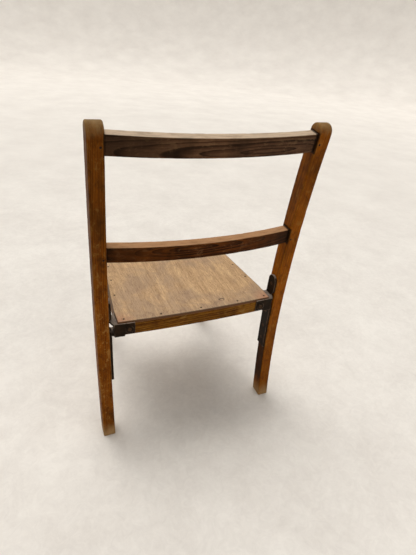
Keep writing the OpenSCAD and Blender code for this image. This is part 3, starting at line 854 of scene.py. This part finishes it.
class SeatPanel:
    """The plywood panel, with worn edges and shallow dips round its nails."""

    def __init__(self):
        solid = Solid("seat_panel")
        self.low, self.high = low, high = solid.low, solid.high
        self.depth_at = np.linspace(low.y + 0.2 * MM, high.y - 6 * MM, 160)
        self.width_at = np.array([solid.span(Y, y, X)[1] for y in self.depth_at])
        self.column_at = np.linspace(-high.x + 0.2 * MM, high.x - 0.2 * MM, 160)
        self.rear_at = np.array([solid.span(X, x, Y)[1] for x in self.column_at])
        corner = solid.span(Y, low.y + 20 * MM, X)[1] - 0.15 * MM
        self.front_column = np.linspace(-corner, corner, 240)
        self.front_at = np.array([solid.span(X, x, Y)[0] for x in self.front_column])
        self.nails = [(a + b) / 2 for a, b in islands("seat_nails")]

    def place(self, u, t):
        """Point of the plan at shares u across, -1 to 1, and t from front to rear, 0 to 1."""
        y = self.low.y + t * (self.high.y - self.low.y)
        x = u * np.interp(y, self.depth_at, self.width_at)
        front = np.interp(x, self.front_column, self.front_at)
        rear = np.interp(x, self.column_at, self.rear_at)
        return float(x), float(front + t * (rear - front))

    def rim(self, u, t):
        """Distance of that point from the nearest edge."""
        x = self.place(u, t)[0]
        half = abs(x) / abs(u) if abs(u) > 0.05 else self.high.x
        length = self.high.y - self.low.y
        return max(min((1 - abs(u)) * half, t * length, (1 - t) * length), 0.0)

    def drop(self, x, y, gap):
        """How far the top face lies under its full height."""
        dip = NAIL_DIP * sum(math.exp(-((x - n.x) ** 2 + (y - n.y) ** 2) / NAIL_DIP_REACH ** 2)
                             for n in self.nails)
        wave = 0.16 * MM * noise.noise(Vector((x * 22, y * 9, 1.5)))
        return rounding(gap, SEAT_EDGE) + (dip - wave) * min(1.0, gap / (4 * MM))

    def grids(self, bm):
        """Rows of points of the top and under faces."""
        across = [2 * s - 1 for s in stops(0, 1, SEAT_EDGE / (2 * self.high.x), 110)]
        along = stops(0, 1, SEAT_EDGE / (self.high.y - self.low.y), 100)
        top, under = [], []
        for t in along:
            top.append([])
            under.append([])
            for u in across:
                x, y = self.place(u, t)
                gap = self.rim(u, t)
                under_z = self.low.z + rounding(gap, UNDER_EDGE)
                top[-1].append(bm.verts.new((x, y, self.high.z - self.drop(x, y, gap))))
                under[-1].append(bm.verts.new((x, y, under_z)))
        return top, under

    def mesh(self):
        """Joins both faces by walls round the panel's edge."""
        bm = bmesh.new()
        top, under = self.grids(bm)
        rows, columns = len(top), len(top[0])
        for j in range(rows - 1):
            for k in range(columns - 1):
                bm.faces.new((top[j][k], top[j][k + 1], top[j + 1][k + 1], top[j + 1][k]))
                bm.faces.new((under[j][k], under[j + 1][k], under[j + 1][k + 1], under[j][k + 1]))
        loop = ([(0, k) for k in range(columns)] + [(j, columns - 1) for j in range(1, rows)]
                + [(rows - 1, k) for k in range(columns - 2, -1, -1)]
                + [(j, 0) for j in range(rows - 2, 0, -1)])
        walls = [[top[j][k] for j, k in loop]]
        for share in (0.25, 0.5, 0.75):
            walls.append([bm.verts.new(top[j][k].co.lerp(under[j][k].co, share)) for j, k in loop])
        walls.append([under[j][k] for j, k in loop])
        for upper, lower in zip(walls, walls[1:]):
            for k in range(len(loop)):
                nxt = (k + 1) % len(loop)
                bm.faces.new((upper[k], lower[k], lower[nxt], upper[nxt]))
        return bm

    def border(self, co):
        """Distance from the panel's outline in plan."""
        sides = float(np.interp(co.y, self.depth_at, self.width_at)) - abs(co.x)
        front = co.y - float(np.interp(co.x, self.front_column, self.front_at))
        rear = float(np.interp(co.x, self.column_at, self.rear_at)) - co.y
        return max(min(sides, front, rear), 0.0)

    def grain(self, co):
        return Vector((co.x, co.z - self.low.z, co.y))

    def wear(self, co):
        """1 at the panel's edges, weaker on its under face."""
        return max(0.0, 1 - self.border(co) / (5 * MM)) * (1 if co.z > self.low.z + 2 * MM else 0.3)

    def spot(self, co):
        """Dark ring round a nail."""
        near = min((co.xy - n.xy).length for n in self.nails)
        return max(0.0, 1 - near / SPOT_REACH) ** 1.5

    def side(self, co):
        """1 on the panel's edge faces."""
        return 1.0 if self.border(co) < 0.3 * MM and co.z < self.high.z - MM else 0.0

    def red(self, co):
        """1 at the rear corners, which are tinted red."""
        return max(0.0, 1 - math.hypot(abs(co.x) - self.high.x, co.y - self.high.y) / RED_REACH)

    def build(self):
        knot = Vector((self.low.x * KNOT_SHARE, self.high.y - KNOT_FROM_REAR, self.high.z))
        piece = finish_mesh("seat_panel_ply", self.mesh(), self.grain, self.wear,
                            plywood("seat_ply", knot), "seat_panel")
        store(piece.data, "spot", self.spot)
        store(piece.data, "side", self.side)
        store(piece.data, "red", self.red)


CAST_VOXEL = 0.75 * MM
CAST_LUMPS = 0.12 * MM


def welded_copy(node):
    """A copy of a CAD node with its coincident points joined."""
    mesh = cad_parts[node].data.copy()
    bm = bmesh.new()
    bm.from_mesh(mesh)
    bmesh.ops.remove_doubles(bm, verts=bm.verts, dist=0.01 * MM)
    bm.to_mesh(mesh)
    bm.free()
    piece = bpy.data.objects.new(node + "_casting", mesh)
    bpy.context.scene.collection.objects.link(piece)
    return piece


def soften(piece):
    """Remeshes a piece finely and smooths its corners, with the result applied."""
    remesh = piece.modifiers.new("remesh", "REMESH")
    remesh.mode = "VOXEL"
    remesh.voxel_size = CAST_VOXEL
    smooth = piece.modifiers.new("smooth", "SMOOTH")
    smooth.factor = 0.5
    smooth.iterations = 3
    depsgraph = bpy.context.evaluated_depsgraph_get()
    shaped = bpy.data.meshes.new_from_object(piece.evaluated_get(depsgraph))
    piece.modifiers.clear()
    piece.data = shaped
    return shaped


def cast(node, material):
    """An iron bracket with the soft corners and uneven skin of a sand casting."""
    piece = welded_copy(node)
    shaped = soften(piece)
    places = np.zeros(3 * len(shaped.vertices))
    shaped.vertices.foreach_get("co", places)
    normals = np.array([n.vector for n in shaped.vertex_normals]).ravel()
    lumps = [noise.noise(Vector(p) * 150) + 0.4 * noise.noise(Vector(p) * 400)
             for p in places.reshape(-1, 3)]
    shaped.vertices.foreach_set("co", places + normals * np.repeat(lumps, 3) * CAST_LUMPS)
    for polygon in shaped.polygons:
        polygon.use_smooth = True
    shaped.materials.clear()
    shaped.materials.append(material)
    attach(piece, "root")
    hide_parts(node)


# Share of the radius and of the rise at points down a nail head's profile
HEAD_PROFILE = ((0.45, 0.93), (0.8, 0.6), (1.0, 0.05))
HEAD_SINK = 3 * MM


def lathe_heads(name, spots, radius, rise, material, node):
    """Domed heads of nails or pins, each turned about its own direction."""
    bm = bmesh.new()
    profile = [(share, rise * height) for share, height in HEAD_PROFILE] + [(1.0, -HEAD_SINK)]
    count = 16
    for centre, direction in spots:
        turn = Vector((0, 0, 1)).rotation_difference(direction).to_matrix()
        rows = []
        for share, height in profile:
            rows.append([bm.verts.new(centre + turn @ Vector((
                share * radius * math.cos(2 * math.pi * k / count),
                share * radius * math.sin(2 * math.pi * k / count), height)))
                for k in range(count)])
        top = bm.verts.new(centre + turn @ Vector((0, 0, rise)))
        foot = bm.verts.new(centre + turn @ Vector((0, 0, -HEAD_SINK)))
        for k in range(count):
            nxt = (k + 1) % count
            bm.faces.new((top, rows[0][k], rows[0][nxt]))
            bm.faces.new((foot, rows[-1][nxt], rows[-1][k]))
            for upper, lower in zip(rows, rows[1:]):
                bm.faces.new((upper[k], lower[k], lower[nxt], upper[nxt]))
    finish_mesh(name, bm, lambda co: co, lambda co: 0.0, material, node)


def pin_spots(node):
    """(centre, direction) of the end of each pin on its post's back face.

    The pin leans with the post, so its end lies outward of its box's corner by its radius.
    """
    post = Solid("post_left")
    spots = []
    for a, b in islands(node):
        r = (b.x - a.x) / 2
        above, below = (post.span(Z, a.z + r + step, Y)[1] for step in (8 * MM, -8 * MM))
        face = Vector((0, 16 * MM, above - below)).normalized()
        out = Vector((0, face.y, -face.z))
        end = Vector(((a.x + b.x) / 2, b.y + r * out.z, a.z + r * out.y))
        spots.append((end, out))
    return spots


def make_fasteners():
    """Nail and pin heads, and the CAD screws with their arrises worn."""
    steel = iron("nail_steel_dark", "140a05", "241207", "4a3524", "35251a")
    spots = [(Vector(((a.x + b.x) / 2, (a.y + b.y) / 2, b.z - 0.25 * MM)), Vector((0, 0, 1)))
             for a, b in islands("seat_nails")]
    lathe_heads("seat_nail_heads", spots, 2.0 * MM, 0.3 * MM, steel, "seat_nails")
    for node in ("top_rail_pins", "lower_rail_pins"):
        lathe_heads(node + "_ends", pin_spots(node), 2.1 * MM, 0.2 * MM, steel, node)
    for node in ("post_screws", "cup_screws", "leg_screws", "front_rail_screws"):
        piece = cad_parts[node]
        piece.data.materials.clear()
        piece.data.materials.append(steel)
        bevel = piece.modifiers.new("worn_edges", "BEVEL")
        bevel.width = 0.12 * MM
        bevel.segments = 2
        bevel.limit_method = "ANGLE"


def make_brackets():
    """The four iron castings."""
    metal = iron("bracket_cast_iron")
    for side in SIDES:
        cast("rear_bracket_" + side, metal)
        cast("front_bracket_" + side, metal)


# ---------------------------------------------------------------- floor, light and camera

FLOOR_RADIUS = 6.0
COVE_RADIUS = 3.0
WALL_TOP = 5.0


def plaster(name):
    """Pale plaster, lit a little from within far from the chair, as a backdrop would be."""
    s = Shader(name)
    place = s.object_place()
    cloud = s.noise(s.scale(place, (3.5, 3.5, 3.5)), 5.0, 0.65)
    trowel = s.noise(s.scale(place, (14, 14, 14), (2, 0, 1)), 5.0, 0.7, 0.8)
    marks = s.noise(s.scale(place, (45, 45, 45), (5, 1, 3)), 6.0, 0.75, 1.5)
    x, y = s.parts(place)[:2]
    away = s.math("SQRT", s.add(s.times(x, x), s.times(y, y)))
    fine = s.add(s.times(trowel, 0.5), s.times(marks, 0.5))
    fine = s.times(s.add(fine, -0.5), s.span(away, 0.6, 2.4, 1.0, 0.2))
    tone = s.add(s.times(cloud, 0.4), s.add(s.times(fine, 0.7), 0.3))
    colour = s.ramp(tone, [(0.38, "d8d1c9"), (0.60, "e7e1d9")])
    normal = s.bump(trowel, 0.12, MM)
    glow = s.span(away, 0.28 * FLOOR_RADIUS, FLOOR_RADIUS + 0.6 * COVE_RADIUS, 0.0, 0.2)
    s.feed(s.principled.inputs["Emission Color"], colour)
    s.feed(s.principled.inputs["Emission Strength"], glow)
    return s.surface(colour, 0.85, normal, Specular_IOR_Level=0.15)


def make_floor():
    """A round pale floor that curves up into a backdrop on all sides."""
    profile = [(1.5, 0.0), (3.0, 0.0), (FLOOR_RADIUS, 0.0)]
    for k in range(1, 13):
        angle = math.pi / 2 * k / 12
        profile.append((FLOOR_RADIUS + COVE_RADIUS * math.sin(angle),
                        COVE_RADIUS * (1 - math.cos(angle))))
    profile.append((FLOOR_RADIUS + COVE_RADIUS, WALL_TOP))
    count = 96
    bm = bmesh.new()
    rows = [[bm.verts.new((r * math.cos(2 * math.pi * k / count),
                           r * math.sin(2 * math.pi * k / count), z)) for k in range(count)]
            for r, z in profile]
    bm.faces.new(rows[0])
    for row, following in zip(rows, rows[1:]):
        for k in range(count):
            nxt = (k + 1) % count
            bm.faces.new((row[k], row[nxt], following[nxt], following[k]))
    bmesh.ops.recalc_face_normals(bm, faces=bm.faces)
    if bm.faces[0].normal.z < 0:
        bmesh.ops.reverse_faces(bm, faces=bm.faces)
    mesh = bpy.data.meshes.new("floor")
    bm.to_mesh(mesh)
    bm.free()
    for polygon in mesh.polygons:
        polygon.use_smooth = True
    mesh.materials.append(plaster("pale_plaster"))
    floor = bpy.data.objects.new("floor", mesh)
    bpy.context.scene.collection.objects.link(floor)


TOWARDS_CEILING = (0.09, -0.35, 1.0)
CEILING_COLOUR = (1.0, 0.985, 0.96)


def sun(name, towards_light, strength, spread, colour):
    """A far lamp, spread degrees wide: the wider, the softer its shadows."""
    light = bpy.data.lights.new(name, "SUN")
    light.energy = strength
    light.angle = math.radians(spread)
    light.color = colour
    lamp = bpy.data.objects.new(name, light)
    lamp.location = Vector(towards_light) * 3
    lamp.rotation_euler = Vector(towards_light).to_track_quat("Z", "Y").to_euler()
    bpy.context.scene.collection.objects.link(lamp)


def make_light():
    """A soft ceiling light in front of the chair, a weak fill and a pale room."""
    world = bpy.data.worlds.new("soft_room")
    world.use_nodes = True
    background = world.node_tree.nodes["Background"]
    background.inputs["Color"].default_value = (0.90, 0.96, 1.0, 1)
    background.inputs["Strength"].default_value = 0.36
    bpy.context.scene.world = world
    sun("ceiling_light", TOWARDS_CEILING, 1.85, 44, CEILING_COLOUR)
    sun("ceiling_spot", TOWARDS_CEILING, 0.35, 14, CEILING_COLOUR)
    sun("behind_camera", (-0.8, 1.0, 0.75), 0.5, 40, (1.0, 0.97, 0.93))
    bpy.context.scene.view_settings.view_transform = "Standard"


# The camera stands behind the chair, beyond its left post, and looks down at it.
CAMERA_LENS = 26.605
CAMERA_YAW = math.radians(25.59)
CAMERA_PITCH = math.radians(31.32)
CAMERA_ROLL = math.radians(6.01)
CAMERA_SIDE = 288.3 * MM
CAMERA_BEHIND_HEEL = 612.8 * MM
CAMERA_HEIGHT = 800 * MM


def make_camera():
    """The camera, placed from the back of the posts' heels."""
    heel = Solid("post_left").span(Z, 0.2 * MM, Y)[1]
    ahead = Vector((-math.sin(CAMERA_YAW) * math.cos(CAMERA_PITCH),
                    -math.cos(CAMERA_YAW) * math.cos(CAMERA_PITCH), -math.sin(CAMERA_PITCH)))
    level = Vector((-math.cos(CAMERA_YAW), math.sin(CAMERA_YAW), 0))
    upright = level.cross(ahead)
    right = level * math.cos(CAMERA_ROLL) + upright * math.sin(CAMERA_ROLL)
    up = upright * math.cos(CAMERA_ROLL) - level * math.sin(CAMERA_ROLL)
    data = bpy.data.cameras.new("camera")
    data.lens = CAMERA_LENS
    camera = bpy.data.objects.new("camera", data)
    turn = Matrix((right, up, -ahead)).transposed().to_4x4()
    place = Vector((CAMERA_SIDE, heel + CAMERA_BEHIND_HEEL, CAMERA_HEIGHT))
    camera.matrix_world = Matrix.Translation(place) @ turn
    bpy.context.scene.collection.objects.link(camera)
    bpy.context.scene.camera = camera


make_camera()
make_light()
make_floor()
make_posts()
make_back_rails()
make_seat_frame()
make_front_legs()
SeatPanel().build()
make_brackets()
make_fasteners()
